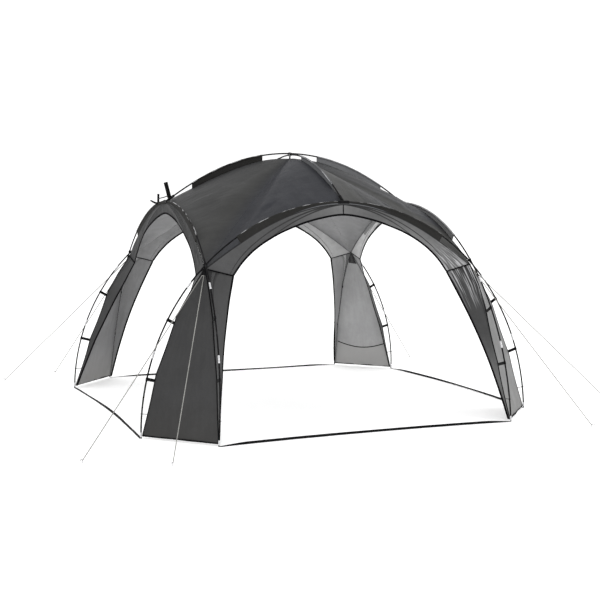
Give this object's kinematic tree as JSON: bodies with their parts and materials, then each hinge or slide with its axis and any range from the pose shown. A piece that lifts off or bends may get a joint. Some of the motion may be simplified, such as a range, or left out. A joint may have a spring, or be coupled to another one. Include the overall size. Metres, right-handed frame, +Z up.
{
  "type": "garden gazebo",
  "caption": "Square dome shelter with open sides: crossing bent poles, a coated cloth roof with corner legs, guy lines, ground pegs and straps.",
  "frame": {"origin": "centre of the square plan at ground level", "axes": "+Z up, the front opening toward -Y, +X to the right seen from the front"},
  "size_m": [4.7056, 4.4256, 2.2795],
  "materials": {
    "cloth": "coated woven cloth",
    "sleeve": "woven cloth",
    "pole": "coated glass fibre with steel joining sleeves",
    "webbing": "woven tape",
    "hub": "moulded",
    "cord": "braided cord",
    "peg": "plated wire"
  },
  "bodies": {
    "root": {"arch_pole_front": "pole", "arch_band_front": "cloth", "arch_sleeve_front": "sleeve", "ridge_sleeve_front": "sleeve", "peak_hub_front": "hub", "ground_strap_front": "webbing", "arch_pole_right": "pole", "arch_band_right": "cloth", "arch_sleeve_right": "sleeve", "ridge_sleeve_right": "sleeve", "peak_hub_right": "hub", "ground_strap_right": "webbing", "arch_pole_back": "pole", "arch_band_back": "cloth", "arch_sleeve_back": "sleeve", "ridge_sleeve_back": "sleeve", "peak_hub_back": "hub", "ground_strap_back": "webbing", "arch_pole_left": "pole", "arch_band_left": "cloth", "arch_sleeve_left": "sleeve", "ridge_sleeve_left": "sleeve", "peak_hub_left": "hub", "ground_strap_left": "webbing", "ridge_pole_across": "pole", "ridge_pole_along": "pole", "crown_tie": "webbing", "roof_panel_front_left": "cloth", "corner_leg_front_left": "cloth", "corner_tie_front_left": "webbing", "guy_lines_front_left": "cord", "ground_peg_front_left_side": "peg", "ground_peg_front_left_end": "peg", "roof_panel_front_right": "cloth", "corner_leg_front_right": "cloth", "corner_tie_front_right": "webbing", "guy_lines_front_right": "cord", "ground_peg_front_right_side": "peg", "ground_peg_front_right_end": "peg", "roof_panel_back_right": "cloth", "corner_leg_back_right": "cloth", "corner_tie_back_right": "webbing", "guy_lines_back_right": "cord", "ground_peg_back_right_side": "peg", "ground_peg_back_right_end": "peg", "roof_panel_back_left": "cloth", "corner_leg_back_left": "cloth", "corner_tie_back_left": "webbing", "guy_lines_back_left": "cord", "ground_peg_back_left_side": "peg", "ground_peg_back_left_end": "peg"}
  },
  "joints": []
}
